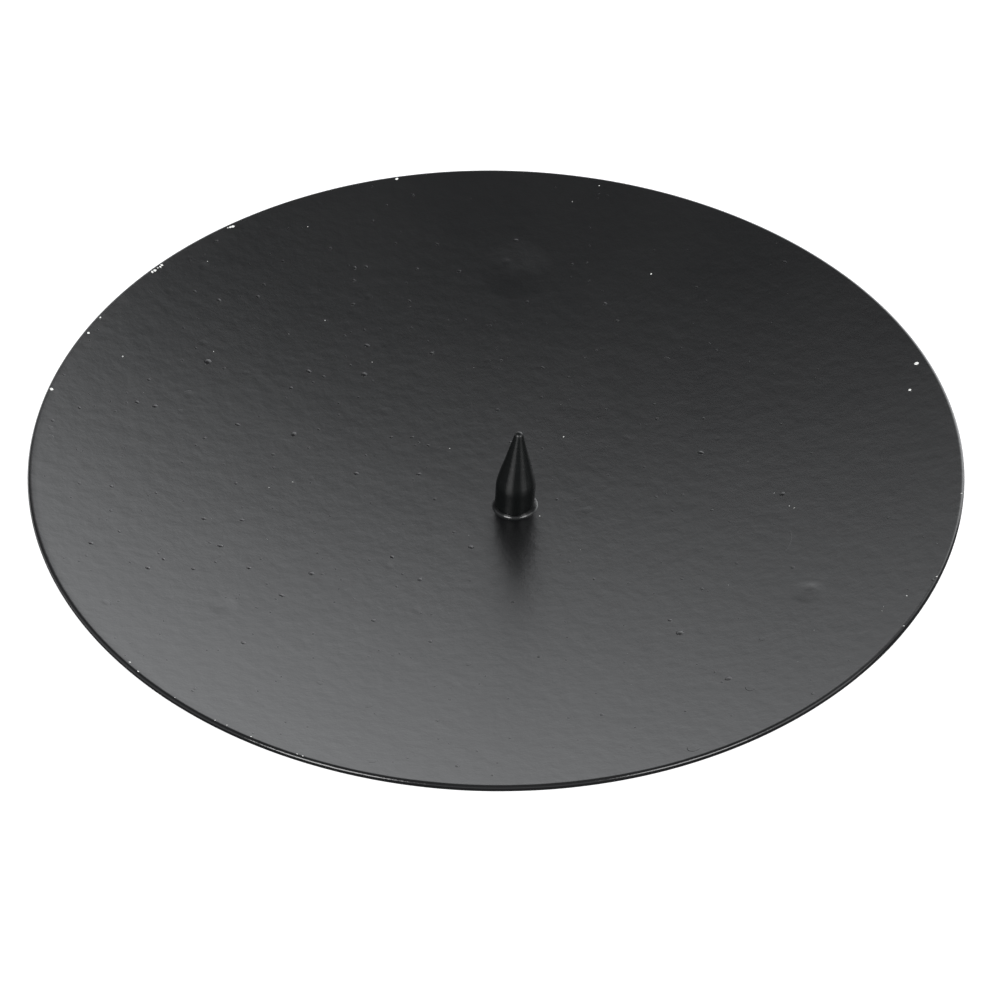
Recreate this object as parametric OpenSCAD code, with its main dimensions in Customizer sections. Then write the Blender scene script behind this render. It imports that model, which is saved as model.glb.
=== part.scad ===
// Candle plate: a shallow round dish of painted sheet steel that holds one pillar candle
// on a welded spike and stands on three short welded pegs.
// Millimetres, +Z up. The origin is on the table, under the middle of the rim.

/* [Plate] */
// Diameter across the rim
plate_d = 140; // [100:1:300]
// Depth of the dish, from the rim down to its lowest point
dish_depth = 10; // [4:0.5:24]
// Thickness of the sheet with its paint
sheet_t = 1; // [0.6:0.1:3]
// Rounding of the rim's upper and lower corners
rim_round = 0.45; // [0.1:0.05:0.6]

/* [Spike] */
// Diameter of the spike's straight part
spike_d = 6; // [4:0.1:10]
// Height of the spike above the dish
spike_len = 14.6; // [12:0.1:40]
// Length of the tapered point, from the shoulder to the tip
point_len = 9.9; // [5:0.1:11]
// Radius of the blunt tip
tip_r = 0.65; // [0.3:0.05:1.5]
// Radius that softens the shoulder below the taper
shoulder_r = 6; // [1:0.5:10]
// Lean of the spike towards +X, in degrees
spike_lean = 2.5; // [0:0.5:5]
// Height of the weld fillet up the spike
spike_weld_h = 1.4; // [0.8:0.1:2.4]
// Spread of the weld fillet over the dish, beyond the spike
spike_weld_w = 0.45; // [0.2:0.05:0.8]
// How much thinner the spike's melted root is, all round, inside its weld
root_step = 0.5; // [0.2:0.1:1]

/* [Feet] */
// Diameter of each peg
foot_d = 6; // [4:0.1:12]
// Height of the dish's lowest point above the table
foot_clear = 4; // [2:0.5:20]
// Distance from the rim in to the circle of the pegs
foot_inset = 19.5; // [10:0.5:30]
// Chamfer round the bottom of each peg
foot_chamfer = 0.5; // [0.2:0.1:1.5]
// Height of the weld fillet down the peg
foot_weld_h = 1.3; // [0.8:0.1:2.5]
// Spread of the weld fillet over the sheet, beyond the peg
foot_weld_w = 0.9; // [0.5:0.1:2]
// Width of the faint mark that each weld raises in the dish
mark_d = 3; // [1:0.1:5]
// Height of that mark
mark_h = 0.12; // [0.05:0.01:0.3]

/* [Placing] */
// How far towards +X the spike and the ring of pegs sit off the middle of the rim
jig_off = 2.8; // [0:0.1:5]

/* [Hidden] */
$fn = 120;
// Number of segments in the long, flat arcs of the dish
dish_fn = 720;
// Number of chords in a rounded corner of an outline
corner_steps = 5;
// Number of chords along the dish under a weld
floor_steps = 6;
// How far a cutting shape runs past what it cuts
overrun = 0.5;
// Directions of the three pegs round their circle, in degrees. They were set by eye.
foot_angles = [90, 214, 331];
foot_count = len(foot_angles);
// Largest share of the sheet that each rounded corner may take
corner_share = 0.45;

// The dish is one sheet between two spheres that share a centre on the Z axis.
under_r = (pow(plate_d / 2, 2) + pow(dish_depth, 2)) / (2 * dish_depth);
upper_r = under_r - sheet_t;
dish_z = foot_clear + under_r;
// Angle at the spheres' centre between the Z axis and the rim's edge
rim_angle = asin(plate_d / 2 / under_r);
corner_r = min(rim_round, sheet_t * corner_share);

spike_r = spike_d / 2;
root_r = spike_r - root_step;
spike_weld_r = spike_r + spike_weld_w;
foot_r = foot_d / 2;
foot_weld_r = foot_r + foot_weld_w;
foot_circle_r = plate_d / 2 - foot_inset;

// The cone's flank runs from the shoulder to where it touches the round tip.
shoulder_z = spike_len - point_len;
tip_z = spike_len - tip_r;
flank_len = norm([spike_r, tip_z - shoulder_z]);
touch_angle = acos(tip_r / flank_len) - atan2(tip_z - shoulder_z, spike_r);
wall_top_z = shoulder_z - shoulder_r * tan(touch_angle / 2);

// How deep the leaning spike and its weld reach below the dish before they are cut to meet it
sink = spike_weld_r * tan(spike_lean) + overrun;

// Point of an upright section, a distance from the dish's centre along a ray at an angle from the Z axis
function ray_point(distance, angle) = [distance * sin(angle), dish_z - distance * cos(angle)];

// Points of an arc of given centre, radius and end angles
function arc(centre, r, start, end, steps) = [
    for (i = [0 : steps])
        let (a = start + (end - start) * i / steps)
        centre + r * [cos(a), sin(a)]
];

// All but the first point of a list
function rest_of(points) = [for (i = [1 : len(points) - 1]) points[i]];

// Place of a peg on the plan
function foot_place(i) =
    [jig_off, 0] + foot_circle_r * [cos(foot_angles[i - 1]), sin(foot_angles[i - 1])];

// Hollow outer edge of a weld fillet, from a spread w beyond a wall of radius r up to that wall
function fillet_edge(r, w, low, high) =
    let (edge_r = (w * w + pow(high - low, 2)) / (2 * w))
    arc([r + edge_r, high], edge_r, 360 + atan2(low - high, w - edge_r), 180, corner_steps);

// How far a sphere falls away from its tangent plane at a distance from where they touch
function fall(sphere_r, distance) = sphere_r - sqrt(pow(sphere_r, 2) - pow(distance, 2));

// Height of the dish's upper face at a distance from the Z axis
function floor_z(distance) = foot_clear + sheet_t + fall(upper_r, distance);

// The space over the middle of the dish, as far out as the spike's weld reaches
module over_dish() {
    reach = jig_off + spike_weld_r + overrun;
    rotate_extrude()
        polygon(concat(
            [[0, floor_z(reach / floor_steps / 2)]],
            [for (i = [1 : floor_steps]) [reach * i / floor_steps, floor_z(reach * i / floor_steps)]],
            [[reach, floor_z(0) + spike_len + overrun], [0, floor_z(0) + spike_len + overrun]]
        ));
}

// The space over the sheet's underside
module under_sphere() {
    translate([0, 0, dish_z])
        sphere(r = under_r, $fn = dish_fn / 2);
}

// Outline that trims the sheet at the rim, with both corners of its square edge rounded
module rim_outline() {
    upper_centre = ray_point(upper_r + corner_r, rim_angle - asin(corner_r / (upper_r + corner_r)));
    under_centre = ray_point(under_r - corner_r, rim_angle - asin(corner_r / (under_r - corner_r)));
    upper_corner = arc(upper_centre, corner_r, rim_angle + 90, rim_angle, corner_steps);
    under_corner = arc(under_centre, corner_r, rim_angle - 90, rim_angle, corner_steps);
    // Each corner's first chord runs on past the surface of the sheet, so that it cuts it cleanly.
    upper_out = 2 * upper_corner[0] - upper_corner[1];
    under_out = 2 * under_corner[0] - under_corner[1];
    polygon(concat(
        [[0, dish_z], upper_out],
        rest_of(upper_corner),
        [for (i = [corner_steps : -1 : 1]) under_corner[i]],
        [under_out, [under_out[0], foot_clear - overrun], [0, foot_clear - overrun]]
    ));
}

module sheet_section() {
    difference() {
        intersection() {
            translate([0, dish_z])
                circle(r = under_r, $fn = dish_fn);
            rim_outline();
        }
        translate([0, dish_z])
            circle(r = upper_r, $fn = dish_fn);
    }
}

// Low dome that a peg's weld raises in the dish right above the peg
module weld_mark(i) {
    place = foot_place(i);
    dome_r = (pow(mark_d / 2, 2) + pow(mark_h, 2)) / (2 * mark_h);
    intersection() {
        translate([0, 0, dish_z])
            rotate([0, 0, atan2(place[1], place[0])])
                rotate([0, -asin(norm(place) / upper_r), 0])
                    translate([0, 0, mark_h - upper_r - dome_r])
                        sphere(r = dome_r);
        translate([0, 0, dish_z])
            sphere(r = upper_r + sheet_t / 2, $fn = dish_fn / 2);
    }
}

module plate() {
    color([0.13, 0.13, 0.135])
        union() {
            rotate_extrude()
                sheet_section();
            for (i = [1 : foot_count])
                weld_mark(i);
        }
}

// Puts what stands along +Z from zero at the foot of the leaning spike
module at_spike() {
    translate([jig_off, 0, dish_z - sqrt(pow(upper_r, 2) - pow(jig_off, 2))])
        rotate([0, spike_lean, 0])
            children();
}

module spike_section() {
    polygon(concat(
        [[0, -sink], [root_r, -sink], [root_r, spike_weld_h], [spike_r, spike_weld_h]],
        arc([spike_r - shoulder_r, wall_top_z], shoulder_r, 0, touch_angle, corner_steps),
        arc([0, tip_z], tip_r, touch_angle, 90, corner_steps)
    ));
}

module spike() {
    color([0.06, 0.06, 0.065])
        intersection() {
            at_spike()
                rotate_extrude()
                    spike_section();
            over_dish();
        }
}

module spike_weld() {
    color([0.09, 0.09, 0.095])
        intersection() {
            at_spike()
                rotate_extrude()
                    polygon(concat(
                        [[root_r, -sink], [spike_weld_r, -sink]],
                        fillet_edge(spike_r, spike_weld_w, 0, spike_weld_h),
                        [[root_r, spike_weld_h]]
                    ));
            over_dish();
        }
}

module foot_rod(i) {
    translate(foot_place(i))
        rotate_extrude()
            polygon([
                [0, 0],
                [foot_r - foot_chamfer, 0],
                [foot_r, foot_chamfer],
                [foot_r, foot_clear + dish_depth + overrun],
                [0, foot_clear + dish_depth + overrun]
            ]);
}

module foot(i) {
    color([0.1, 0.1, 0.105])
        difference() {
            foot_rod(i);
            under_sphere();
        }
}

// Section of a peg's weld, with zero where its axis meets the sheet and its base following the sheet
module foot_weld_section() {
    polygon(concat(
        [for (i = [0 : floor_steps])
            let (x = foot_weld_r * i / floor_steps)
            [x, -fall(under_r, x)]],
        rest_of(fillet_edge(foot_r, foot_weld_w, -fall(under_r, foot_weld_r), foot_weld_h)),
        [[0, foot_weld_h]]
    ));
}

// The fillet stands square to the sheet, and the upright peg passes through it.
module foot_weld(i) {
    place = foot_place(i);
    color([0.09, 0.09, 0.095])
        difference() {
            translate([0, 0, dish_z])
                rotate([0, 0, atan2(place[1], place[0])])
                    rotate([0, 180 - asin(norm(place) / under_r), 0])
                        translate([0, 0, under_r])
                            rotate_extrude()
                                foot_weld_section();
            foot_rod(i);
        }
}

plate();
spike();
spike_weld();
for (i = [1 : foot_count]) {
    foot(i);
    foot_weld(i);
}
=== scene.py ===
"""Looks of a black candle plate: a dished steel disc, a welded spike and three welded pegs.

Metres, +Z up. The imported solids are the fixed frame, and each piece sits where its solid is.
"""

import logging
import math
import random
from collections.abc import Callable, Sequence
from dataclasses import dataclass
from enum import Enum
from functools import partial

import bmesh
import bpy
from mathutils import Matrix, Vector, noise


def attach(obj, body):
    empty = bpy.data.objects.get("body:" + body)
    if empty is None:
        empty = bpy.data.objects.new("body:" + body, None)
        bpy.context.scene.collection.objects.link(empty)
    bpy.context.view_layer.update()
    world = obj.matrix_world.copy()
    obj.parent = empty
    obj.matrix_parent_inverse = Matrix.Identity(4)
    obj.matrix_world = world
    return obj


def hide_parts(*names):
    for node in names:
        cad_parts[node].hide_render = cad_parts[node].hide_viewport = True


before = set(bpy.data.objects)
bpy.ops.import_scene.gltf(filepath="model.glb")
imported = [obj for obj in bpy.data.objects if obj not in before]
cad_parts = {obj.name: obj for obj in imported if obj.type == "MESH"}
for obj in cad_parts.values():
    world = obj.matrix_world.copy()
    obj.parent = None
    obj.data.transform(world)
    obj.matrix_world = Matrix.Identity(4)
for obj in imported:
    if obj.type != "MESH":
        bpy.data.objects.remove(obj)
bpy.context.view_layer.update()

LOG = logging.getLogger("candle_plate")
ROOT = "root"
MM = 0.001
FULL_TURN = 2 * math.pi
WELD_GAP = 1e-7

Colour = tuple[float, float, float, float]
Point = tuple[float, float]
Profile = Sequence[Point]

SATIN_BLACK: Colour = (0.0035, 0.0036, 0.0040, 1)
SATIN_CLOUD: Colour = (0.0052, 0.0053, 0.0056, 1)

# Directions in an upright section, in degrees from the way outwards
UP, INWARDS, DOWN, OUTWARDS = 90, 180, 270, 360


class Slot(Enum):
    """The record's material slots."""

    DISH = "dish_paint"
    SPIKE = "spike_paint"
    WELD = "weld_paint"


class Wire:
    """A node's output, so that sums on shader values read as Python sums."""

    def __init__(self, bench: "NodeBench", socket: bpy.types.NodeSocket | None) -> None:
        """Keep the socket, which an output node lacks, and the bench that adds nodes beside it."""
        self.bench = bench
        self.socket = socket

    def maths(self, operation: str, *values: "float | Wire") -> "Wire":
        """Add a Math node.

        Args:
            operation: What the node does.
            values: Its inputs in order, as numbers or wires.

        Returns:
            The node's result.
        """
        return self.bench.add("ShaderNodeMath", {"operation": operation}, dict(enumerate(values)))

    def __add__(self, other: "float | Wire") -> "Wire":
        """Return the sum."""
        return self.maths("ADD", self, other)

    def __sub__(self, other: "float | Wire") -> "Wire":
        """Return this less the other."""
        return self.maths("SUBTRACT", self, other)

    def __rsub__(self, other: "float | Wire") -> "Wire":
        """Return the other less this."""
        return self.maths("SUBTRACT", other, self)

    def __mul__(self, other: "float | Wire") -> "Wire":
        """Return the product."""
        return self.maths("MULTIPLY", self, other)

    __radd__ = __add__
    __rmul__ = __mul__

    def within(self, low: float, high: float) -> "Wire":
        """Return 0 at low, 1 at high, and an S curve between."""
        inputs = {"Value": self, "From Min": low, "From Max": high}
        return self.bench.add("ShaderNodeMapRange", {"interpolation_type": "SMOOTHSTEP"}, inputs)


class NodeBench:
    """A node tree, and the one method that adds a node of any kind to it."""

    MIX_INPUTS = (0, 6, 7)
    MIX_RESULT = 2

    def __init__(self, tree: bpy.types.NodeTree) -> None:
        """Empty the tree and work on it."""
        self.tree = tree
        tree.nodes.clear()

    def add(
        self,
        kind: str,
        settings: dict[str, object] | None = None,
        inputs: dict[str | int, object] | None = None,
        output: str | int = 0,
    ) -> Wire:
        """Add a node.

        Args:
            kind: Blender's name for the node's type.
            settings: Its settings, set before its sockets.
            inputs: A value or a wire for each input, by name or number.
            output: The output that is wanted.

        Returns:
            That output.
        """
        node = self.tree.nodes.new(kind)
        for name, value in (settings or {}).items():
            setattr(node, name, value)
        for name, value in (inputs or {}).items():
            socket = node.inputs[name]
            if isinstance(value, Wire):
                self.tree.links.new(value.socket, socket)
            else:
                socket.default_value = value
        return Wire(self, node.outputs[output] if len(node.outputs) else None)

    def mixed(self, factor: "float | Wire", low: "Colour | Wire", high: "Colour | Wire") -> Wire:
        """Return a colour from low at factor 0 to high at factor 1."""
        inputs = dict(zip(self.MIX_INPUTS, (factor, low, high)))
        return self.add("ShaderNodeMix", {"data_type": "RGBA"}, inputs, self.MIX_RESULT)


def blank_material(name: str) -> tuple[bpy.types.Material, NodeBench]:
    """Make an empty material.

    Args:
        name: Its name.

    Returns:
        The material, and the bench for its nodes.
    """
    material = bpy.data.materials.new(name)
    material.use_nodes = True
    return material, NodeBench(material.node_tree)


def linked(name: str, data: bpy.types.ID) -> bpy.types.Object:
    """Make an object of a mesh, a light or a camera and put it in the scene.

    Args:
        name: The object's name.
        data: What it shows.

    Returns:
        The object, at the origin.
    """
    made = bpy.data.objects.new(name, data)
    bpy.context.scene.collection.objects.link(made)
    return made


@dataclass(frozen=True)
class Scratch:
    """A faint curved scratch, on the plan of the dish."""

    centre: tuple[float, float, float] = (36.9 * MM, -11.3 * MM, 0.0)
    radius: float = 7.0 * MM
    width: float = 0.16 * MM
    half_length: float = 3.0 * MM
    middle: tuple[float, float, float] = (43.7 * MM, -12.9 * MM, 0.0)

    def mask(self, plan: Wire) -> Wire:
        """Mask the scratch.

        Args:
            plan: The place on the plan, with no height.

        Returns:
            1 on the scratch and 0 off it.
        """
        off_arc = self._distance(plan, self.centre) - self.radius
        across = 1 - off_arc.maths("ABSOLUTE", off_arc).within(0, self.width)
        off_middle = self._distance(plan, self.middle)
        along = 1 - off_middle.within(self.half_length / 2, self.half_length)
        return across * along

    def _distance(self, plan: Wire, point: tuple[float, float, float]) -> Wire:
        """Return the distance on the plan from a point."""
        settings = {"operation": "DISTANCE"}
        return plan.bench.add("ShaderNodeVectorMath", settings, {0: plan, 1: point}, "Value")


@dataclass(frozen=True)
class Paint:
    """Black paint on steel: its colour, its gloss and the fine relief of its skin."""

    name: str
    colour: Colour
    cloud: Colour
    roughness: float
    gloss_drift: float
    peel: float
    peel_size: float = 2.2 * MM
    grain: float = 0.009 * MM
    grain_size: float = 0.32 * MM
    cloud_size: float = 22 * MM
    rings: float = 0.0
    rings_size: float = 0.3 * MM
    rub_height: float = 0.0
    specular: float = 0.5
    rim_gloss: float = 0.0
    rim_zone: tuple[float, float] = (69.1 * MM, 69.5 * MM)
    edge_zone: tuple[float, float] = (69.8 * MM, 69.84 * MM)
    edge_creep: float = 0.11 * MM
    creep_right: tuple[float, float] = (50 * MM, 58 * MM)
    creep_ahead: tuple[float, float] = (-18 * MM, -12 * MM)
    scratch: Scratch | None = None

    # Each noise's detail and roughness
    SOFT = (3.0, 0.5)
    FINE = (2.0, 0.5)
    UNEVEN = (4.0, 0.6)
    DRIFTING = (5.0, 0.6)
    NOISE_MIDDLE = 0.5
    CLOUD_RANGE = (0.32, 0.7)
    CLOUDS_PER_DRIFT = 3
    RUB_RANGE = (0.45, 0.8)
    RUB_COLOUR = (0.33, 0.32, 0.31, 1.0)
    RUB_ROUGHNESS = 0.42
    SCRATCH_DEPTH = 0.012 * MM
    SCRATCH_COLOUR = (0.017, 0.017, 0.018, 1.0)
    ON_PLAN = (1.0, 1.0, 0.0)
    ALONG_RINGS = (0.08, 0.08, 1.0)
    # The cut edge takes less paint, so it is duller than the faces.
    DULL_SPECULAR = 0.03
    DULL_ROUGHNESS = 0.5

    def made(self) -> bpy.types.Material:
        """Build the paint's nodes, whose patterns follow Object coordinates.

        Returns:
            The paint as a material.
        """
        material, bench = blank_material(self.name)
        place = bench.add("ShaderNodeTexCoord", output="Object")
        cloud = self._noise(place, self.cloud_size, self.SOFT).within(*self.CLOUD_RANGE)
        colour = bench.mixed(cloud, self.colour, self.cloud)
        drift = self._noise(place, self.cloud_size / self.CLOUDS_PER_DRIFT, self.DRIFTING)
        roughness = self.roughness + (drift - self.NOISE_MIDDLE) * self.gloss_drift
        relief = self._relief(place)
        metallic: float | Wire = 0.0
        plan = self._scaled(place, self.ON_PLAN)
        reach = bench.add("ShaderNodeVectorMath", {"operation": "LENGTH"}, {0: plan}, "Value")
        if self.rim_gloss:
            roughness = roughness + reach.within(*self.rim_zone) * (self.rim_gloss - self.roughness)
        if self.scratch:
            mark = self.scratch.mask(plan)
            colour = bench.mixed(mark, colour, self.SCRATCH_COLOUR)
            relief = relief + mark * (self.SCRATCH_DEPTH / MM)
            roughness = roughness + mark * self.gloss_drift
        if self.rub_height:
            rub = self._rub(place)
            colour = bench.mixed(rub, colour, self.RUB_COLOUR)
            roughness = roughness + rub * (self.RUB_ROUGHNESS - self.roughness)
            metallic = rub
        normal = bench.add("ShaderNodeBump", None, {"Height": relief, "Distance": MM})
        shader = bench.add(
            "ShaderNodeBsdfPrincipled",
            None,
            {
                "Base Color": colour,
                "Roughness": roughness,
                "Metallic": metallic,
                "Normal": normal,
                "Specular IOR Level": self.specular,
            },
        )
        if self.rim_gloss:
            dull = bench.add(
                "ShaderNodeBsdfPrincipled",
                None,
                {
                    "Base Color": colour,
                    "Roughness": self.DULL_ROUGHNESS,
                    "Normal": normal,
                    "Specular IOR Level": self.DULL_SPECULAR,
                },
            )
            on_edge = self._on_edge(place, reach)
            shader = bench.add("ShaderNodeMixShader", None, {0: on_edge, 1: shader, 2: dull})
        bench.add("ShaderNodeOutputMaterial", None, {"Surface": shader})
        return material

    def _on_edge(self, place: Wire, reach: Wire) -> Wire:
        """Mask the dull cut edge, which begins further in at the front right.

        Args:
            place: The place on the surface.
            reach: Its distance from the axis.

        Returns:
            1 on the cut edge and 0 inside it.
        """
        right, behind = (
            place.bench.add("ShaderNodeSeparateXYZ", None, {0: place}, axis) for axis in ("X", "Y")
        )
        front_right = right.within(*self.creep_right) * (1 - behind.within(*self.creep_ahead))
        return (reach + front_right * self.edge_creep).within(*self.edge_zone)

    def _relief(self, place: Wire) -> Wire:
        """Add up the relief of the skin: orange peel, grain and any turned rings.

        Args:
            place: The place on the surface.

        Returns:
            Its height in millimetres.
        """
        peel = self._noise(place, self.peel_size, self.SOFT) * (self.peel / MM)
        relief = peel + self._noise(place, self.grain_size, self.FINE) * (self.grain / MM)
        if not self.rings:
            return relief
        drawn_out = self._scaled(place, self.ALONG_RINGS)
        return relief + self._noise(drawn_out, self.rings_size, self.SOFT) * (self.rings / MM)

    def _rub(self, place: Wire) -> Wire:
        """Mask the foot, where the table has rubbed the paint off.

        Args:
            place: The place on the surface.

        Returns:
            1 on bare steel and 0 above it.
        """
        height = place.bench.add("ShaderNodeSeparateXYZ", None, {0: place}, "Z")
        uneven = self._noise(place, self.peel_size, self.UNEVEN) * self.rub_height
        return 1 - (height + uneven).within(*(self.rub_height * share for share in self.RUB_RANGE))

    def _scaled(self, place: Wire, scale: tuple[float, float, float]) -> Wire:
        """Return a place scaled along each axis."""
        settings = {"operation": "MULTIPLY"}
        return place.bench.add("ShaderNodeVectorMath", settings, {0: place, 1: scale})

    def _noise(self, place: Wire, size: float, kind: tuple[float, float]) -> Wire:
        """Return a noise of that detail and roughness, whose lumps are about size wide."""
        inputs = {"Vector": place, "Scale": 1 / size, "Detail": kind[0], "Roughness": kind[1]}
        return place.bench.add("ShaderNodeTexNoise", None, inputs)


@dataclass(frozen=True)
class Fleck:
    """Pale primer or dust: a small bright finish, with fine relief."""

    name: str
    colour: Colour
    shade: Colour
    roughness: float
    grain: float = 0.004 * MM
    grain_size: float = 0.15 * MM

    GRAIN_DETAIL = 3.0

    def made(self) -> bpy.types.Material:
        """Build the finish's nodes.

        Returns:
            The finish as a material.
        """
        material, bench = blank_material(self.name)
        place = bench.add("ShaderNodeTexCoord", output="Object")
        grain = bench.add(
            "ShaderNodeTexNoise",
            None,
            {"Vector": place, "Scale": 1 / self.grain_size, "Detail": self.GRAIN_DETAIL},
        )
        normal = bench.add("ShaderNodeBump", None, {"Height": grain, "Distance": self.grain})
        shader = bench.add(
            "ShaderNodeBsdfPrincipled",
            None,
            {
                "Base Color": bench.mixed(grain, self.shade, self.colour),
                "Roughness": self.roughness,
                "Normal": normal,
            },
        )
        bench.add("ShaderNodeOutputMaterial", None, {"Surface": shader})
        return material


@dataclass(frozen=True)
class Finishes:
    """Every finish of the candle plate."""

    dish: Paint = Paint(
        "satin_black", SATIN_BLACK, SATIN_CLOUD,
        roughness=0.285, gloss_drift=0.04, peel=0.058 * MM, rim_gloss=0.13, scratch=Scratch(),
    )
    nib: Paint = Paint(
        "satin_black_nib", SATIN_BLACK, SATIN_CLOUD,
        roughness=0.24, gloss_drift=0.04, peel=0.03 * MM,
    )
    spike: Paint = Paint(
        "gloss_black_spike", (0.0022, 0.0027, 0.0027, 1), (0.0036, 0.0042, 0.0041, 1),
        roughness=0.27, gloss_drift=0.05, peel=0.016 * MM, rings=0.02 * MM, specular=0.36,
    )
    weld: Paint = Paint(
        "gloss_black_weld", (0.0035, 0.0040, 0.0040, 1), (0.005, 0.0055, 0.0055, 1),
        roughness=0.19, gloss_drift=0.05, peel=0.010 * MM,
    )
    peg: Paint = Paint(
        "satin_black_peg", SATIN_BLACK, (0.006, 0.006, 0.0063, 1),
        roughness=0.28, gloss_drift=0.10, peel=0.02 * MM, rub_height=0.42 * MM,
    )
    primer: Fleck = Fleck(
        "pale_primer", (0.80, 0.80, 0.78, 1), (0.62, 0.62, 0.60, 1), roughness=0.7,
    )
    dust: Fleck = Fleck(
        "pale_dust", (0.66, 0.66, 0.64, 1), (0.45, 0.45, 0.44, 1), roughness=0.8,
    )


def arc(
    centre: Point, radii: tuple[float, float], start: float, end: float, steps: int,
) -> list[Point]:
    """Work out the points of an arc in an upright section.

    Args:
        centre: Its centre, as radius and height.
        radii: Its reach sideways and upwards, which are the same in a round arc.
        start: Its first angle, in degrees from the radius' direction.
        end: Its last angle.
        steps: Its number of chords.

    Returns:
        The points, as radius and height.
    """
    turns = (math.radians(start + (end - start) * i / steps) for i in range(steps + 1))
    return [(centre[0] + radii[0] * math.cos(t), centre[1] + radii[1] * math.sin(t)) for t in turns]


def fillet(
    wall_r: float, inner_r: float, spread: float, height: float, sink: float, steps: int,
) -> list[Point]:
    """Work out a weld's section: a hollow fillet between the sheet and a round wall.

    Args:
        wall_r: The wall's radius.
        inner_r: How near to the axis the weld's hidden side lies.
        spread: How far it reaches over the sheet.
        height: How far it reaches up the wall.
        sink: How far it runs on into the sheet.
        steps: The number of chords in the hollow.

    Returns:
        The closed section, with zero on the sheet.
    """
    hollow = arc((wall_r + spread, height), (spread, height), DOWN, INWARDS, steps)
    return [(inner_r, -sink), (wall_r + spread, -sink), *hollow, (inner_r, height)]


def turned(profile: Profile, steps: int, ring: bool = False) -> bmesh.types.BMesh:
    """Spin an upright section once round the Z axis.

    Args:
        profile: The section, as radius and height from point to point.
        steps: The number of segments round the axis.
        ring: True where the section closes on itself beside the axis.

    Returns:
        The closed mesh.
    """
    mesh = bmesh.new()
    points = [mesh.verts.new((radius, 0, height)) for radius, height in profile]
    ends = points[1:] + points[:1] if ring else points[1:]
    edges = [mesh.edges.new(pair) for pair in zip(points, ends)]
    bmesh.ops.spin(
        mesh, geom=points + edges, axis=(0, 0, 1), cent=(0, 0, 0), angle=FULL_TURN, steps=steps,
        use_merge=True,
    )
    bmesh.ops.remove_doubles(mesh, verts=mesh.verts, dist=WELD_GAP)
    bmesh.ops.recalc_face_normals(mesh, faces=mesh.faces)
    return mesh


def moved(mesh: bmesh.types.BMesh, shift: Callable[[Vector], Vector]) -> None:
    """Move every point of a mesh by what a function says of its place."""
    for vert in mesh.verts:
        vert.co += shift(vert.co.copy())


def outwards(place: Vector) -> Vector:
    """Return the level direction away from the Z axis, or no direction on the axis."""
    way = Vector((place.x, place.y, 0))
    return way.normalized() if way.length >= WELD_GAP else Vector()


def lumps(size: float, depth: float, seed: float) -> Callable[[Vector], Vector]:
    """Make a shift that gives a turned surface soft, uneven lumps.

    Args:
        size: The width of a lump.
        depth: How far the surface moves, in or out.
        seed: An offset that makes each surface differ.

    Returns:
        A function from a place to its shift, away from the Z axis.
    """
    def shift(place: Vector) -> Vector:
        """Return the shift at a place."""
        return outwards(place) * depth * noise.noise(place / size + Vector((seed, seed, seed)))
    return shift


def mounted(
    name: str, mesh: bmesh.types.BMesh, coat: bpy.types.Material,
    stands_for: Sequence[str] = (),
) -> bpy.types.Object:
    """Turn a finished mesh into a piece that rides on the frame.

    Args:
        name: The piece's name.
        mesh: Its mesh, in place. It is used up.
        coat: Its material.
        stands_for: The CAD nodes that it replaces.

    Returns:
        The piece.
    """
    for face in mesh.faces:
        face.smooth = True
    data = bpy.data.meshes.new(name)
    mesh.to_mesh(data)
    mesh.free()
    data.materials.append(coat)
    piece = linked(name, data)
    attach(piece, ROOT)
    if stands_for:
        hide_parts(*stands_for)
    LOG.info("%s: %d faces", name, len(data.polygons))
    return piece


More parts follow.
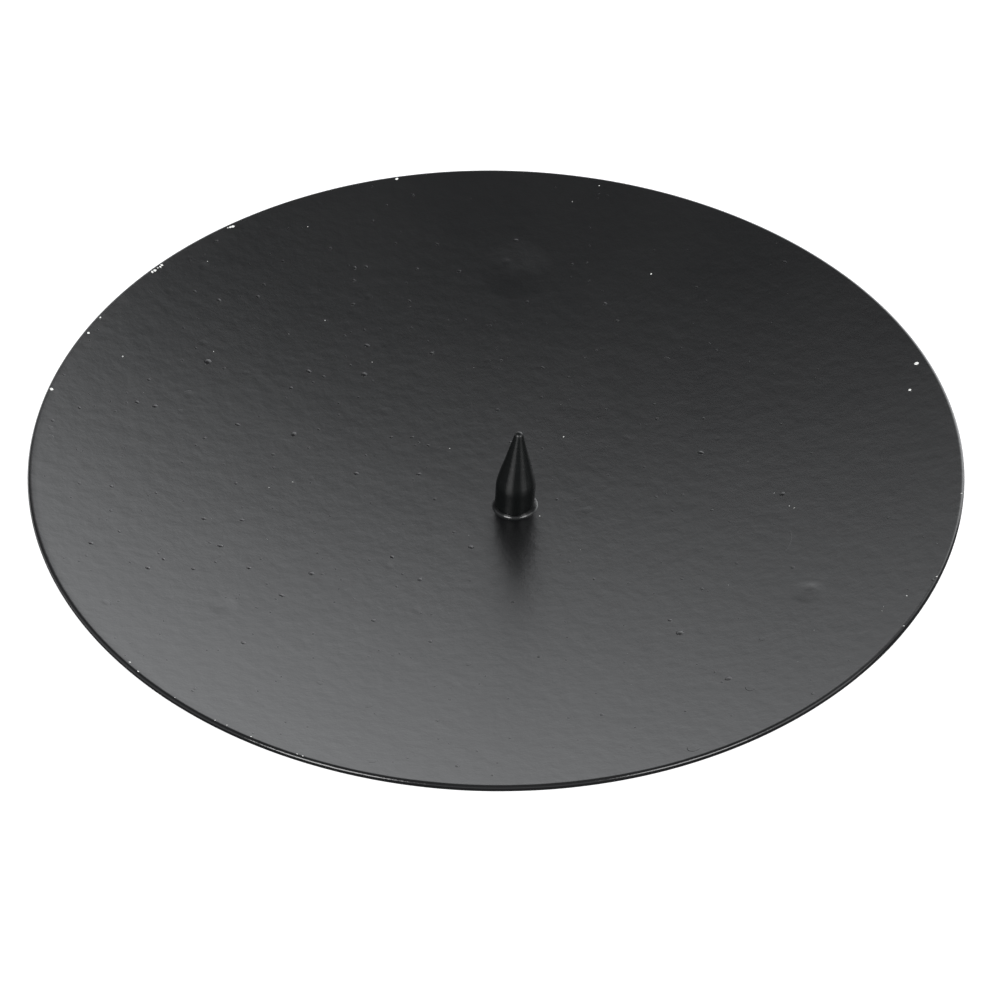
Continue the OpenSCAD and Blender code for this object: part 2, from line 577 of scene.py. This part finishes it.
@dataclass
class Bowl:
    """The two spheres that the sheet lies between, and how far the pressed sheet strays.

    Each warp is a number of waves round the rim with its cosine and sine heights, and each wave
    of the floor is a width and a height.
    """

    radius: float = 70 * MM
    depth: float = 10 * MM
    sheet: float = 1 * MM
    clear: float = 4 * MM
    warps: tuple[tuple[int, float, float], ...] = (
        (2, 0.209 * MM, -0.043 * MM), (3, 0.156 * MM, -0.132 * MM), (4, 0.040 * MM, 0.003 * MM),
    )
    warp_power: float = 3.0
    waves: tuple[tuple[float, float], ...] = ((17 * MM, 0.018 * MM), (6.5 * MM, 0.009 * MM))

    def __post_init__(self) -> None:
        """Work out the spheres' radii, their shared centre and the rim's angle."""
        self.under_r = (self.radius ** 2 + self.depth ** 2) / (2 * self.depth)
        self.upper_r = self.under_r - self.sheet
        self.centre = Vector((0, 0, self.clear + self.under_r))
        self.rim_angle = math.asin(self.radius / self.under_r)

    def section_point(self, sphere_r: float, angle: float) -> Point:
        """Return a point of the upright section on a sphere, at an angle from straight down."""
        return sphere_r * math.sin(angle), self.centre.z - sphere_r * math.cos(angle)

    def sphere_z(self, sphere_r: float, x: float, y: float) -> float:
        """Return the height of a sphere's lower half at a place."""
        return self.centre.z - math.sqrt(sphere_r ** 2 - x ** 2 - y ** 2)

    def stray(self, x: float, y: float) -> float:
        """Work out how far the sheet strays upwards: its warp towards the rim, and its waves.

        Args:
            x: A place on the plan.
            y: A place on the plan.

        Returns:
            The height that it adds there.
        """
        around = math.atan2(y, x)
        warp = sum(a * math.cos(k * around) + b * math.sin(k * around) for k, a, b in self.warps)
        wave = sum(height * noise.noise(Vector((x, y, size)) / size) for size, height in self.waves)
        return warp * (math.hypot(x, y) / self.radius) ** self.warp_power + wave

    def floor(self, x: float, y: float, sphere_r: float | None = None) -> float:
        """Return the height of the sheet at a place, on its upper face unless a sphere is given."""
        return self.sphere_z(sphere_r or self.upper_r, x, y) + self.stray(x, y)

    def standing(self, x: float, y: float, sphere_r: float, up: bool) -> Matrix:
        """Work out how something stands on the sheet.

        Args:
            x: Its place on the plan.
            y: Its place on the plan.
            sphere_r: The sphere of the face that it stands on.
            up: True for the upper side, False for something that hangs below.

        Returns:
            A matrix that takes the origin there and Z to the direction square to the sheet.
        """
        foot = Vector((x, y, self.floor(x, y, sphere_r)))
        inwards = (self.centre - foot).normalized()
        turn = Vector((0, 0, 1)).rotation_difference(inwards if up else -inwards)
        return Matrix.Translation(foot) @ turn.to_matrix().to_4x4()


@dataclass
class Dish:
    """The round dish of painted sheet, with both corners of its rim rounded."""

    bowl: Bowl
    rim_round: float = 0.45 * MM
    rim_segments: int = 8
    rim_margins: tuple[float, float] = (0.5 * MM, 1.6 * MM)
    rim_rings: int = 6
    roll_width: float = 1.7 * MM
    roll_drop: float = 0.2 * MM
    roll_side: float = math.radians(190)
    roll_power: int = 3
    corner_slack: float = 0.015 * MM
    rings: int = 72
    steps: int = 360

    def build(self, coat: bpy.types.Material) -> None:
        """Make the dish and put it in the frame, in place of its solid.

        Args:
            coat: Its paint.
        """
        bowl = self.bowl
        outer, inner = (bowl.rim_angle - margin / bowl.upper_r for margin in self.rim_margins)
        angles = [
            *(inner * i / self.rings for i in range(self.rings)),
            *(inner + (outer - inner) * i / self.rim_rings for i in range(self.rim_rings + 1)),
            bowl.rim_angle,
        ]
        upper = [bowl.section_point(bowl.upper_r, angle) for angle in angles]
        under = [bowl.section_point(bowl.under_r, angle) for angle in reversed(angles)]
        mesh = turned(upper + under, self.steps)
        self._round_rim(mesh)
        moved(mesh, self._roll)
        moved(mesh, lambda place: Vector((0, 0, bowl.stray(place.x, place.y))))
        mounted("dish", mesh, coat, ("plate",))

    def _roll(self, place: Vector) -> Vector:
        """Work out how far the press drew the upper face down beside the cut, mostly on the left.

        Args:
            place: A place on the dish.

        Returns:
            Its shift.
        """
        share = (place.xy.length - self.bowl.radius) / self.roll_width + 1
        if share <= 0:
            return Vector()
        under = self.bowl.sphere_z(self.bowl.under_r, place.x, place.y)
        upper_share = min(1.0, max(0.0, (place.z - under) / self.bowl.sheet))
        side = max(0.0, math.cos(math.atan2(place.y, place.x) - self.roll_side))
        return Vector((0, 0, -self.roll_drop * (share * side) ** self.roll_power * upper_share))

    def _round_rim(self, mesh: bmesh.types.BMesh) -> None:
        """Bevel the two corners that run round the rim.

        Args:
            mesh: The dish.
        """
        corners = [
            self.bowl.section_point(sphere_r, self.bowl.rim_angle)
            for sphere_r in (self.bowl.upper_r, self.bowl.under_r)
        ]
        edges = [
            edge for edge in mesh.edges
            if any(all(self._is_on(vert, corner) for vert in edge.verts) for corner in corners)
        ]
        bmesh.ops.bevel(
            mesh, geom=edges, affect="EDGES", offset=self.rim_round, offset_type="OFFSET",
            segments=self.rim_segments, profile=0.5, material=-1,
        )

    def _is_on(self, vert: bmesh.types.BMVert, corner: Point) -> bool:
        """Tell whether a point lies on the circle of a corner."""
        off = (vert.co.xy.length - corner[0], vert.co.z - corner[1])
        return max(abs(distance) for distance in off) < self.corner_slack


@dataclass
class WeldMark:
    """A soft mark that a peg's weld raises in the dish above the peg."""

    name: str
    x: float
    y: float
    radius: float
    height: float
    peak_radius: float
    peak_height: float
    peak_offset: Point
    rings: int = 30
    steps: int = 72
    sink: float = 0.35 * MM
    skirt: float = 0.003 * MM
    seed: float = 3.1

    PATCH_SHARE = 0.7
    UNEVEN = 0.35

    def build(self, bowl: Bowl, coat: bpy.types.Material) -> None:
        """Make the mark on the dish.

        Args:
            bowl: The dish's shape.
            coat: The dish's paint.
        """
        profile = [(self.radius * i / self.rings, 0.0) for i in range(self.rings + 1)]
        mesh = turned(profile + [(self.radius, -self.sink), (0.0, -self.sink)], self.steps)
        moved(mesh, self._rise)
        bmesh.ops.translate(mesh, vec=(self.x, self.y, 0), verts=mesh.verts)
        moved(mesh, lambda place: Vector((0, 0, bowl.floor(place.x, place.y))))
        mounted(self.name, mesh, coat)

    def _rise(self, place: Vector) -> Vector:
        """Work out how far a point of the upper face stands above the dish.

        Args:
            place: The point, round the middle of the mark.

        Returns:
            Its shift.
        """
        if place.z < -self.skirt:
            return Vector()
        patch = Vector((place.x + self.seed, place.y, self.seed)) / (self.radius * self.PATCH_SHARE)
        uneven = 1 + self.UNEVEN * noise.noise(patch)
        mound = self._bell(place.xy.length / self.radius) * self.height * uneven
        off_peak = (place.xy - Vector(self.peak_offset)).length
        peak = self._bell(off_peak / self.peak_radius) * self.peak_height
        return Vector((0, 0, mound + peak - self.skirt))

    def _bell(self, share: float) -> float:
        """Return a bell's height at a share of its radius."""
        return (1 - min(1.0, share) ** 2) ** 2


@dataclass
class Scatter:
    """Small grains under or on the paint: the notable ones in their places, and many fine ones.

    Their leftness is 0 where they are even, and 1 where the far right has none.
    """

    name: str
    seed: int
    height_share: float
    notable: tuple[tuple[float, float, float], ...] = ()
    count: int = 0
    smallest: float = 0.3 * MM
    largest: float = 0.7 * MM
    leftness: float = 0.0
    margin: float = 1.2 * MM
    spike_clear: float = 5.5 * MM
    sides: int = 9
    rings: int = 4
    below: bool = False

    SKIRT = 0.04
    SMALLNESS = 3
    STRETCHES = (1.0, 1.25)
    HEIGHTS = (0.7, 1.3)

    def build(self, bowl: Bowl, coat: bpy.types.Material, slot: Slot | None) -> None:
        """Make the grains as one piece.

        Args:
            bowl: The dish's shape.
            coat: The grains' finish.
            slot: Not used.
        """
        draw = random.Random(self.seed)
        seed_mesh = self._grain()
        whole = bmesh.new()
        for x, y, width in (*self._placed(), *self._drawn(bowl, draw)):
            start = len(whole.verts)
            whole.from_mesh(seed_mesh)
            whole.verts.ensure_lookup_table()
            stretch = draw.uniform(*self.STRETCHES)
            turn = Matrix.Rotation(draw.uniform(0, FULL_TURN), 4, "Z")
            height = width * self.height_share * draw.uniform(*self.HEIGHTS)
            shape = turn @ Matrix.Diagonal((width / 2 * stretch, width / 2 / stretch, height, 1))
            sphere_r = bowl.under_r if self.below else bowl.upper_r
            stand = bowl.standing(x, y, sphere_r, not self.below)
            bmesh.ops.transform(whole, matrix=stand @ shape, verts=whole.verts[start:])
        bpy.data.meshes.remove(seed_mesh)
        mounted(self.name, whole, coat)

    def _placed(self) -> list[tuple[float, float, float]]:
        """Return the notable grains in metres."""
        return [(x * MM, y * MM, width * MM) for x, y, width in self.notable]

    def _drawn(self, bowl: Bowl, draw: random.Random) -> list[tuple[float, float, float]]:
        """Draw the fine grains, more of them on the left and fewer large than small ones.

        Args:
            bowl: The dish's shape.
            draw: The seeded source of chance.

        Returns:
            The place and width of each.
        """
        grains: list[tuple[float, float, float]] = []
        reach = bowl.radius - self.margin
        while len(grains) < self.count:
            x, y = draw.uniform(-reach, reach), draw.uniform(-reach, reach)
            width = self.smallest + (self.largest - self.smallest) * draw.random() ** self.SMALLNESS
            kept = draw.random() < 1 - self.leftness * (x / reach + 1) / 2
            if kept and self.spike_clear < math.hypot(x, y) < reach:
                grains.append((x, y, width))
        return grains

    def _grain(self) -> bpy.types.Mesh:
        """Make a grain one unit in radius and height: a bell with its skirt under the surface.

        Returns:
            The grain's mesh.
        """
        rings = [i / self.rings for i in range(self.rings + 1)]
        top = [(ring, (1 - ring ** 2) ** 2 - self.SKIRT * ring) for ring in rings]
        grain = turned(top + [(0.0, -self.SKIRT * 2)], self.sides)
        data = bpy.data.meshes.new(self.name + "_grain")
        grain.to_mesh(data)
        grain.free()
        return data


@dataclass
class Spike:
    """The pointed pin that a candle is pressed on, and the weld round its foot."""

    bowl: Bowl
    offset: float = 2.8 * MM
    lean: float = math.radians(2.5)
    radius: float = 3 * MM
    length: float = 14.5 * MM
    point: float = 9.8 * MM
    tip_r: float = 0.68 * MM
    shoulder_r: float = 6 * MM
    root_step: float = 0.5 * MM
    weld_height: float = 0.65 * MM
    weld_spread: float = 0.44 * MM
    weld_bulge: float = 0.32
    weld_climb: float = 1.1
    bulge_towards: float = math.radians(2)
    sink: float = 0.3 * MM
    steps: int = 96
    rows: int = 14
    step_share: float = 0.8
    arc_steps: int = 10
    fillet_steps: int = 18
    lump_size: float = 2.4 * MM
    lump_depth: float = 0.03 * MM
    lump_seed: float = 1.7
    weld_uneven: float = 0.12
    weld_lumps: float = 1.6

    def build(self, pin_coat: bpy.types.Material, weld_coat: bpy.types.Material) -> None:
        """Make the pin and its weld, in place of their solids.

        Args:
            pin_coat: The pin's paint.
            weld_coat: The weld's paint.
        """
        pin = turned(self._pin_section(), self.steps)
        moved(pin, lumps(self.lump_size, self.lump_depth, self.lump_seed))
        foot_z = self.bowl.floor(self.offset, 0)
        stand = Matrix.Translation((self.offset, 0, foot_z)) @ Matrix.Rotation(self.lean, 4, "Y")
        bmesh.ops.transform(pin, matrix=stand, verts=pin.verts)
        mounted("spike_pin", pin, pin_coat, ("spike",))
        section = fillet(
            self.radius, self.radius - self.root_step,
            self.weld_spread, self.weld_height, self.sink, self.fillet_steps,
        )
        weld = turned(section, self.steps, ring=True)
        moved(weld, self._spread_weld)
        moved(weld, self._seat_weld)
        mounted("spike_fillet", weld, weld_coat, ("spike_weld",))

    def _pin_section(self) -> list[Point]:
        """Work out the pin's section: its thin root, straight wall, soft shoulder, flank and tip.

        Returns:
            The section, from the root up.
        """
        shoulder_z = self.length - self.point
        tip_z = self.length - self.tip_r
        flank = math.hypot(self.radius, tip_z - shoulder_z)
        slope = math.atan2(tip_z - shoulder_z, self.radius)
        touch = math.degrees(math.acos(self.tip_r / flank) - slope)
        wall_top = shoulder_z - self.shoulder_r * math.tan(math.radians(touch / 2))
        root_r = self.radius - self.root_step
        step_z = self.weld_height * self.step_share
        shoulder = arc(
            (self.radius - self.shoulder_r, wall_top), (self.shoulder_r,) * 2, 0, touch,
            self.arc_steps,
        )
        tip = arc((0.0, tip_z), (self.tip_r,) * 2, touch, UP, self.arc_steps)
        wall = [
            (self.radius, step_z + (wall_top - step_z) * i / self.rows) for i in range(self.rows)
        ]
        (low_r, low_z), (high_r, high_z) = shoulder[-1], tip[0]
        flank_rows = [
            (low_r + (high_r - low_r) * i / self.rows, low_z + (high_z - low_z) * i / self.rows)
            for i in range(1, self.rows)
        ]
        root = [(0.0, -self.sink), (root_r, -self.sink), (root_r, step_z)]
        return root + wall + shoulder + flank_rows + tip

    def _spread_weld(self, place: Vector) -> Vector:
        """Work out how the hand-made weld differs from an even one.

        Args:
            place: A place on the even weld.

        Returns:
            Its shift.
        """
        beyond = max(0.0, place.xy.length - self.radius)
        around = math.atan2(place.y, place.x)
        towards = max(0.0, math.cos(around - self.bulge_towards)) ** 2
        patch = Vector((math.cos(around), math.sin(around), 0)) * self.weld_lumps
        uneven = self.weld_uneven * noise.noise(patch)
        spread = outwards(place) * beyond * (self.weld_bulge * towards + uneven)
        return spread + Vector((0, 0, max(0.0, place.z) * self.weld_climb * towards))

    def _seat_weld(self, place: Vector) -> Vector:
        """Return the shift that sets a place of the weld on the dish, round the leaning pin."""
        x = self.offset + place.x + place.z * math.tan(self.lean)
        return Vector((x - place.x, 0, self.bowl.floor(x, place.y)))


@dataclass
class Pegs:
    """The three pegs that the dish stands on, each with a weld round its top."""

    bowl: Bowl
    offset: float = 2.8 * MM
    circle_r: float = 50.5 * MM
    directions: tuple[float, ...] = (90, 214, 331)
    radius: float = 3 * MM
    chamfer: float = 0.5 * MM
    weld_height: float = 1.3 * MM
    weld_spread: float = 0.9 * MM
    sink: float = 0.3 * MM
    steps: int = 64
    rows: int = 6
    chamfer_steps: int = 8
    fillet_steps: int = 14
    lump_depth: float = 0.02 * MM
    ripples: int = 11
    ripple_depth: float = 0.07
    bead_uneven: float = 0.16
    bead_lumps: float = 1.4

    def build(self, peg_coat: bpy.types.Material, weld_coat: bpy.types.Material) -> None:
        """Make each peg and its weld, in place of their solids.

        Args:
            peg_coat: The pegs' paint.
            weld_coat: The welds' paint.
        """
        for number, degrees in enumerate(self.directions, start=1):
            around = math.radians(degrees)
            x = self.offset + self.circle_r * math.cos(around)
            y = self.circle_r * math.sin(around)
            peg = self._peg(self.bowl.sphere_z(self.bowl.under_r, x, y) + self.sink)
            moved(peg, lumps(self.radius, self.lump_depth, number))
            bmesh.ops.translate(peg, vec=(x, y, 0), verts=peg.verts)
            mounted(f"peg_{number}", peg, peg_coat, (f"foot_{number}",))
            section = fillet(
                self.radius, self.radius - self.sink,
                self.weld_spread, self.weld_height, self.sink, self.fillet_steps,
            )
            weld = turned(section, self.steps, ring=True)
            moved(weld, partial(self._ripple, number))
            stand = self.bowl.standing(x, y, self.bowl.under_r, up=False)
            bmesh.ops.transform(weld, matrix=stand, verts=weld.verts)
            mounted(f"peg_bead_{number}", weld, weld_coat, (f"foot_weld_{number}",))

    def _peg(self, height: float) -> bmesh.types.BMesh:
        """Make a peg, with its chamfer rounded.

        Args:
            height: Its height.

        Returns:
            Its mesh.
        """
        low = arc(
            (self.radius - self.chamfer, self.chamfer), (self.chamfer,) * 2, DOWN, OUTWARDS,
            self.chamfer_steps,
        )
        rows = [
            (self.radius, self.chamfer + (height - self.chamfer) * i / self.rows)
            for i in range(1, self.rows + 1)
        ]
        return turned([(0.0, 0.0), *low, *rows, (0.0, height)], self.steps)

    def _ripple(self, number: int, place: Vector) -> Vector:
        """Work out the ripples and the uneven width of a bead.

        Args:
            number: The peg's number, which makes each bead differ.
            place: A place on the even bead.

        Returns:
            Its shift.
        """
        beyond = max(0.0, place.xy.length - self.radius)
        around = math.atan2(place.y, place.x)
        ripple = self.ripple_depth * abs(math.sin(self.ripples * around / 2 + number))
        patch = Vector((math.cos(around), math.sin(around), number)) * self.bead_lumps
        uneven = self.bead_uneven * noise.noise(patch)
        return outwards(place) * beyond * (uneven - ripple)


@dataclass
class Softbox:
    """A large soft light a long way off, with its angles in degrees."""

    name: str
    azimuth: float
    elevation: float
    width: float
    radiance: float

    def build(self) -> None:
        """Hang the light. Its azimuth is from the front, and to the right."""
        around, lift = math.radians(self.azimuth), math.radians(self.elevation)
        half = math.radians(self.width / 2)
        data = bpy.data.lights.new(self.name, "SUN")
        data.angle = 2 * half
        data.energy = self.radiance * math.pi * math.sin(half) ** 2
        towards = Vector((
            math.sin(around) * math.cos(lift), -math.cos(around) * math.cos(lift), math.sin(lift),
        ))
        linked(self.name, data).rotation_euler = towards.to_track_quat("Z", "Y").to_euler()


@dataclass
class Studio:
    """The pale floor, the soft room light and the camera.

    The room's levels are its light from overhead, the front and the wall behind. The pairs below
    them say where each level begins and ends along a direction.
    """

    softboxes: tuple[Softbox, ...] = (
        Softbox("softbox_left", azimuth=-37, elevation=28, width=31, radiance=10.9),
        Softbox("softbox_right", azimuth=44, elevation=28, width=29, radiance=8.0),
        Softbox("fill_right", azimuth=74, elevation=28, width=36, radiance=1.3),
    )
    floor_size: float = 12.0
    floor_cells: int = 4
    floor_colour: Colour = (0.60, 0.60, 0.60, 1)
    floor_roughness: float = 0.7
    floor_glow: float = 1.15
    overhead: float = 0.01
    front: float = 0.31
    low_front: float = 0.5
    wall: float = 4.95
    dim_overhead: tuple[float, float] = (0.398, 0.985)
    dim_left: tuple[float, float] = (-0.91, 1.24)
    dim_right: tuple[float, float] = (0.62, 0.8)
    right_share: float = 0.65
    front_rise: tuple[float, float] = (0.35, 0.8)
    front_to_back: tuple[float, float] = (0.09, 0.71)
    tint: Colour = (0.985, 1.0, 1.02, 1)
    lens: float = 180.0
    elevation: float = math.radians(41.573)
    roll: float = math.radians(0.268)
    distance: float = 747.41 * MM
    aim: tuple[float, float, float] = (0.0, 0.0, 14.96 * MM)
    slide_right: float = 0.586 * MM
    slide_up: float = -6.669 * MM

    def build(self) -> None:
        """Make the floor, the lights and the camera."""
        self._floor()
        self._room()
        for box in self.softboxes:
            box.build()
        self._camera()
        bpy.context.scene.view_settings.view_transform = "Standard"

    def _floor(self) -> None:
        """Lay the floor."""
        mesh = bmesh.new()
        bmesh.ops.create_grid(
            mesh, x_segments=self.floor_cells, y_segments=self.floor_cells,
            size=self.floor_size / 2,
        )
        data = bpy.data.meshes.new("floor")
        mesh.to_mesh(data)
        mesh.free()
        material, bench = blank_material("pale_floor")
        shader = bench.add(
            "ShaderNodeBsdfPrincipled",
            None,
            {
                "Base Color": self.floor_colour,
                "Roughness": self.floor_roughness,
                "Emission Color": self.floor_colour,
                "Emission Strength": self.floor_glow,
            },
        )
        bench.add("ShaderNodeOutputMaterial", None, {"Surface": shader})
        data.materials.append(material)
        linked("floor", data)

    def _room(self) -> None:
        """Light the room: a wall behind, dimmer at both ends and overhead, and a dim front."""
        world = bpy.data.worlds.new("studio")
        world.use_nodes = True
        bpy.context.scene.world = world
        bench = NodeBench(world.node_tree)
        way = bench.add("ShaderNodeTexCoord", output="Generated")
        right, behind, height = (
            bench.add("ShaderNodeSeparateXYZ", None, {0: way}, axis) for axis in ("X", "Y", "Z")
        )
        wall = right.within(*self.dim_left) * (1 - height.within(*self.dim_overhead)) * self.wall
        wall = wall * (1 - right.within(*self.dim_right) * self.right_share)
        share = behind.within(*self.front_to_back)
        front = (1 - height.within(*self.front_rise)) * self.low_front + self.front
        level = (wall + self.overhead) * share + (1 - share) * front
        light = bench.add("ShaderNodeBackground", None, {"Color": self.tint, "Strength": level})
        bench.add("ShaderNodeOutputWorld", None, {"Surface": light})

    def _camera(self) -> None:
        """Place the camera, which looks down on the plate from the front."""
        lift = Vector((0, math.sin(self.elevation), math.cos(self.elevation)))
        back = Vector((0, -math.cos(self.elevation), math.sin(self.elevation)))
        right = Vector((math.cos(self.roll), 0, 0)) + lift * math.sin(self.roll)
        up = lift * math.cos(self.roll) - Vector((math.sin(self.roll), 0, 0))
        data = bpy.data.cameras.new("camera")
        data.lens = self.lens
        camera = linked("camera", data)
        place = (
            Vector(self.aim) + back * self.distance + right * self.slide_right + up * self.slide_up
        )
        turn = Matrix((right, up, back)).transposed().to_4x4()
        camera.matrix_world = Matrix.Translation(place) @ turn
        bpy.context.scene.camera = camera


WELD_MARKS = (
    WeldMark(
        "weld_mark_back", x=3.0 * MM, y=50.2 * MM, radius=6.4 * MM, height=0.20 * MM,
        peak_radius=0.8 * MM, peak_height=0.035 * MM, peak_offset=(-1.5 * MM, 1.5 * MM),
    ),
    WeldMark(
        "weld_mark_left", x=-39.7 * MM, y=-27.8 * MM, radius=2.7 * MM, height=0.055 * MM,
        peak_radius=0.7 * MM, peak_height=0.010 * MM, peak_offset=(-0.3 * MM, -0.4 * MM), seed=8.4,
    ),
    WeldMark(
        "weld_mark_right", x=45.7 * MM, y=-25.1 * MM, radius=3.1 * MM, height=0.088 * MM,
        peak_radius=1.1 * MM, peak_height=0.028 * MM, peak_offset=(0.4 * MM, 0.9 * MM), seed=5.7,
    ),
)
# Grains and chips where the photo has them, as x, y and width in millimetres
NIBS = Scatter(
    "paint_nibs", seed=7, height_share=0.08,
    notable=(
        (-44.5, 26.8, 1.35), (26.9, -31.7, 1.3), (-27.2, -17.8, 1.05), (33.5, -44.1, 1.1),
        (-3.7, -9.7, 1.0), (43.0, -1.5, 1.0), (31.1, 9.8, 1.0), (-20.5, 27.6, 1.1),
        (-36.4, -36.3, 0.9), (-30.9, 13.5, 1.1), (-29.0, 27.3, 0.9), (-21.2, 6.0, 0.9),
        (-31.4, -23.7, 0.9), (-20.2, 33.7, 0.9), (-11.2, -17.6, 0.9), (-36.4, -18.0, 0.8),
        (-15.4, -12.6, 0.8), (-10.1, 32.8, 0.8), (-17.8, -28.0, 0.8), (63.6, -27.3, 0.6),
        (-48.9, -18.6, 0.7), (-11.7, 6.6, 0.8), (-39.4, 14.2, 0.8), (-43.5, -7.8, 0.8),
        (2.9, 56.0, 0.8), (16.9, 42.9, 0.7), (-54.7, 15.8, 0.8), (-51.0, -21.3, 0.9),
        (-5.2, -64.4, 0.7), (-52.0, 15.6, 0.9), (-43.3, 39.8, 0.8), (-22.4, 49.3, 0.7),
        (-12.6, 49.9, 0.55), (9.2, 1.2, 0.6), (-31.6, 23.4, 0.7), (-26.7, 26.5, 0.6),
        (-59.5, -17.8, 0.85), (-40.8, -13.6, 0.9), (-44.5, -19.9, 0.7), (25.5, -28.4, 0.7),
        (-57.4, -3.8, 0.65), (-37.9, -7.0, 0.8),
    ),
)
SOFT_NIBS = Scatter(
    "soft_paint_nibs", seed=5, height_share=0.010,
    notable=(
        (-51.1, 40.2, 1.8), (-45.4, 30.6, 1.9), (-47.1, 19.1, 2.2), (-20.2, 43.8, 1.6),
        (-17.0, 20.0, 2.4),
    ),
    count=30, smallest=1.1 * MM, largest=2.4 * MM, leftness=1.0, sides=24, rings=12,
)
FINE_NIBS = Scatter("fine_paint_nibs", seed=31, height_share=0.055, count=320, leftness=0.9)
UNDER_NIBS = Scatter(
    "paint_nibs_below", seed=19, height_share=0.1, count=60, smallest=0.35 * MM, largest=0.9 * MM,
    leftness=0.2, below=True,
)
CHIPS = Scatter(
    "paint_chips", seed=11, height_share=0.06,
    notable=(
        (-53.4, 43.8, 0.5), (-52.4, 45.1, 0.44), (64.2, 22.3, 0.75), (-41.7, 54.9, 0.52),
        (-67.5, 15.0, 0.58), (62.9, 16.9, 0.5), (-16.1, 67.2, 0.52), (-62.8, 28.5, 0.44),
        (-61.2, 32.2, 0.3), (-52.1, -45.2, 0.3), (24.2, 48.4, 0.31), (64.2, -26.7, 0.25),
        (16.2, 66.3, 0.17), (69.0, -8.5, 0.22), (-53.0, 44.4, 0.24), (-53.8, 43.4, 0.42),
        (-52.6, 44.7, 0.38), (-50.8, -47.2, 0.26), (-45.3, -52.5, 0.16), (-39.4, -57.0, 0.2),
        (-37.7, -57.9, 0.2), (-34.2, -60.2, 0.24), (-27.6, -63.6, 0.22), (-26.8, -64.0, 0.26),
        (58.8, -37.1, 0.22), (-42.1, 54.7, 0.4), (-42.5, 54.5, 0.22),
    ),
)
DUST = Scatter(
    "dust_specks", seed=23, height_share=0.2,
    notable=(
        (10.3, 15.1, 0.28), (-57.4, 25.0, 0.3), (-26.8, 38.2, 0.19), (-7.1, 12.5, 0.19),
        (-30.7, 2.9, 0.18), (11.9, 63.4, 0.17), (-30.0, 56.6, 0.17), (-45.4, 47.3, 0.16),
        (-43.7, 29.1, 0.16), (-34.2, 1.1, 0.15), (6.6, -2.5, 0.2), (-32.3, 34.7, 0.12),
        (-19.3, 30.3, 0.17), (43.9, -4.4, 0.16), (44.6, -5.0, 0.18), (41.8, -1.0, 0.13),
        (59.7, -29.9, 0.24), (56.0, -32.5, 0.14), (56.3, -31.5, 0.1),
    ),
    count=18, smallest=0.06 * MM, largest=0.11 * MM, leftness=0.6, sides=7,
)


def main() -> None:
    """Build the stage and every piece, and report each one."""
    logging.basicConfig(level=logging.INFO, format="%(name)s: %(message)s")
    Studio().build()
    finishes = Finishes()
    bowl = Bowl()
    satin, nib, weld = finishes.dish.made(), finishes.nib.made(), finishes.weld.made()
    Dish(bowl).build(satin)
    for mark in WELD_MARKS:
        mark.build(bowl, satin)
    NIBS.build(bowl, nib, Slot.DISH)
    FINE_NIBS.build(bowl, nib, Slot.DISH)
    SOFT_NIBS.build(bowl, satin, Slot.DISH)
    UNDER_NIBS.build(bowl, nib, Slot.DISH)
    CHIPS.build(bowl, finishes.primer.made(), None)
    DUST.build(bowl, finishes.dust.made(), None)
    Spike(bowl).build(finishes.spike.made(), weld)
    Pegs(bowl).build(finishes.peg.made(), weld)


if __name__ == "__main__":
    main()
